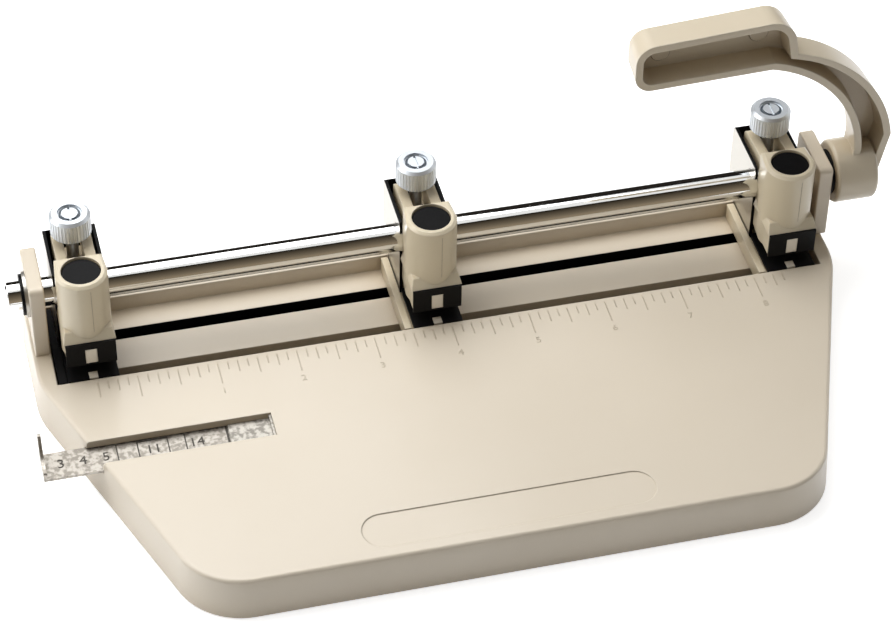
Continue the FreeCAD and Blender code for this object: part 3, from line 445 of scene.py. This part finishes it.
# %% Traces of the moulds
# Dark enamel for painted shade: the grooves round the grip marks and the mould lines.
groove_shade_enamel = enamel("baked_enamel_painted_groove_shade", "#75684f", "#6c5f48", 1.0, 0.5)
for label, x, z in (("left", 66.4, 93.3), ("right", 98.6, 95.5)):
    groove = link_piece("grip_mark_groove_shade_" + label, ring_mesh("grip_mark_groove_shade_" + label, 2.93, 3.3, 0.2),
                        groove_shade_enamel, "lever_shaft")
    groove.location = Vector((x, 51.72, z)) * MM
    groove.rotation_euler = (math.radians(90), 0, 0)
HEAD_FRONT = FENCE + 11.8 - 8.2
for side, x in HEAD_X.items():
    # Painted shade: a thin dark line down the front of each head.
    seam = [((x + 1.6, HEAD_FRONT + 0.1, 32.8), (x + 1.72, HEAD_FRONT + 0.6, 49.5))]
    link_piece(side + "_mould_line_shade", boxes_mesh(side + "_mould_line_shade", seam), groove_shade_enamel, side + "_head")
print("detail pieces ready")

# %% [markdown]
# The floor is pale and catches the shadow. The camera, the chrome and the floor's own glow
# should see plain white, and the lamps should not have to be brighter for it, so Light Path
# adds white for those rays alone.

# %% Floor and world
FLOOR_HALF_WIDTH = 3.0
FLOOR_GLOW = 0.7


def seen_directly(tree):
    """1 for camera, mirror and glass rays, else 0."""
    path = add_node(tree, "ShaderNodeLightPath")
    first = add_node(tree, "ShaderNodeMath", {0: path.outputs["Is Camera Ray"],
                                              1: path.outputs["Is Glossy Ray"]}, operation="MAXIMUM")
    both = add_node(tree, "ShaderNodeMath", {0: first.outputs[0], 1: path.outputs["Is Transmission Ray"]},
                    operation="MAXIMUM")
    return both.outputs[0]


def make_floor():
    mesh = bpy.data.meshes.new("floor")
    half = FLOOR_HALF_WIDTH
    corners = [(-half, -half, 0), (half, -half, 0), (half, half, 0), (-half, half, 0)]
    mesh.from_pydata(corners, [], [(0, 1, 2, 3)])
    floor = bpy.data.objects.new("floor", mesh)
    bpy.context.scene.collection.objects.link(floor)
    material = bpy.data.materials.new("white_paper_floor")
    material.use_nodes = True
    tree = material.node_tree
    tree.nodes.clear()
    diffuse = add_node(tree, "ShaderNodeBsdfDiffuse", {"Color": colour("#ececec")})
    strength = add_node(tree, "ShaderNodeMath", {0: seen_directly(tree), 1: FLOOR_GLOW},
                        operation="MULTIPLY")
    glow = add_node(tree, "ShaderNodeEmission", {"Strength": strength.outputs[0]})
    total = add_node(tree, "ShaderNodeAddShader", {0: diffuse.outputs[0], 1: glow.outputs[0]})
    add_node(tree, "ShaderNodeOutputMaterial", {"Surface": total.outputs[0]})
    mesh.materials.append(material)


make_floor()


def make_world():
    """Plain white for rays that see it directly. As light it is weak, and weakest in front."""
    world = bpy.data.worlds.new("studio")
    bpy.context.scene.world = world
    world.use_nodes = True
    tree = world.node_tree
    tree.nodes.clear()
    towards = add_node(tree, "ShaderNodeTexCoord").outputs["Generated"]
    split = add_node(tree, "ShaderNodeSeparateXYZ", {"Vector": towards})
    fill = add_node(tree, "ShaderNodeMapRange", {"Value": split.outputs["Y"], "From Min": -0.7,
                                                 "From Max": 0.7, "To Min": 0.24, "To Max": 0.36})
    level = add_node(tree, "ShaderNodeMath", {0: fill.outputs["Result"], 1: seen_directly(tree)},
                     operation="MAXIMUM")
    backdrop = add_node(tree, "ShaderNodeBackground", {"Strength": level.outputs[0], "Color": (1, 1, 1, 1)})
    add_node(tree, "ShaderNodeOutputWorld", {"Surface": backdrop.outputs[0]})


make_world()

# %% [markdown]
# A chromed shaft only shows its shape when it has something dark to mirror. Three large cards
# stand for the unlit half of a studio: one behind the object, one over the viewer and one lying
# in front. Only glossy rays see them, so they cast no shadow and add no diffuse light.

# %% Cards for the reflections
CARD_HALF_WIDTH = 3000


def make_card(name, corners_mm, low, high):
    """Glowing sheet that fades from one colour at its lower edge to another at its top."""
    mesh = bpy.data.meshes.new(name)
    mesh.from_pydata([tuple(v * MM for v in corner) for corner in corners_mm], [], [(0, 1, 2, 3)])
    card = bpy.data.objects.new(name, mesh)
    bpy.context.scene.collection.objects.link(card)
    material = bpy.data.materials.new(name)
    material.use_nodes = True
    tree = material.node_tree
    tree.nodes.clear()
    place = add_node(tree, "ShaderNodeTexCoord").outputs["Object"]
    split = add_node(tree, "ShaderNodeSeparateXYZ", {"Vector": place})
    heights = [corner[2] * MM for corner in corners_mm]
    share = add_node(tree, "ShaderNodeMapRange", {"Value": split.outputs["Z"], "From Min": min(heights),
                                                  "From Max": max(heights)})
    tint = add_node(tree, "ShaderNodeMix", {0: share.outputs["Result"], 6: colour(low), 7: colour(high)},
                    data_type="RGBA")
    glow = add_node(tree, "ShaderNodeEmission", {"Color": tint.outputs[2]})
    add_node(tree, "ShaderNodeOutputMaterial", {"Surface": glow.outputs[0]})
    mesh.materials.append(material)
    card.visible_camera = False
    card.visible_diffuse = False
    card.visible_shadow = False
    card.visible_transmission = False


def card_corners(near, far):
    """Corners of a card as wide as the studio, from the (y, z) of its two long edges."""
    wide = CARD_HALF_WIDTH
    return [(-wide, *near), (wide, *near), (wide, *far), (-wide, *far)]


make_card("card_behind", card_corners((1600, 0), (1600, 2600)), "#2e2a26", "#0c0b0a")
make_card("card_over_viewer", card_corners((-2200, 0), (-450, 1500)), "#94856f", "#080706")
make_card("card_on_table", card_corners((-2200, 1), (-82, 1)), "#94856f", "#94856f")
print("cards ready")

# %% [markdown]
# One wide soft lamp above and behind lights the top faces, so the walls that face the viewer
# stay darker. A weaker one on the left lifts the left walls.

# %% Lamps


def add_lamp(name, place_mm, aim_mm, size_mm, watts):
    lamp = bpy.data.lights.new(name, "AREA")
    lamp.shape = "RECTANGLE"
    lamp.size, lamp.size_y = size_mm[0] * MM, size_mm[1] * MM
    lamp.energy = watts
    holder = bpy.data.objects.new(name, lamp)
    place, aim = Vector(place_mm) * MM, Vector(aim_mm) * MM
    turn = (aim - place).to_track_quat("-Z", "Y").to_matrix().to_4x4()
    holder.matrix_world = Matrix.Translation(place) @ turn
    bpy.context.scene.collection.objects.link(holder)


add_lamp("top_softbox", (-150, 250, 620), (0, 0, 0), (700, 500), 4.4)
add_lamp("left_softbox", (-900, 200, 400), (0, 0, 40), (500, 500), 2.5)

# %% [markdown]
# The camera stands in front of the punch, a little to the left and well above it, with a long
# lens. Its direction is given by azimuth, elevation and roll round the point it aims at.

# %% Camera
AZIMUTH, ELEVATION, ROLL = math.radians(14.547), math.radians(43.399), math.radians(1.087)
AIM = Vector((-5.3, 34.8, 10.7)) * MM
DISTANCE = 963.4 * MM
LENS_MM, SENSOR_MM = 119.73, 36.0
forward = Vector((math.sin(AZIMUTH) * math.cos(ELEVATION), math.cos(AZIMUTH) * math.cos(ELEVATION),
                  -math.sin(ELEVATION)))
level_right = Vector((math.cos(AZIMUTH), -math.sin(AZIMUTH), 0))
level_up = level_right.cross(forward)
right = level_right * math.cos(ROLL) + level_up * math.sin(ROLL)
up = level_up * math.cos(ROLL) - level_right * math.sin(ROLL)
lens = bpy.data.cameras.new("camera")
lens.lens = LENS_MM
lens.sensor_width = SENSOR_MM
lens.clip_start, lens.clip_end = 0.05, 20.0
camera = bpy.data.objects.new("camera", lens)
camera.matrix_world = Matrix.Translation(AIM - forward * DISTANCE) @ Matrix(
    (right, up, -forward)).transposed().to_4x4()
bpy.context.scene.collection.objects.link(camera)
bpy.context.scene.camera = camera
bpy.context.scene.view_settings.view_transform = "Standard"
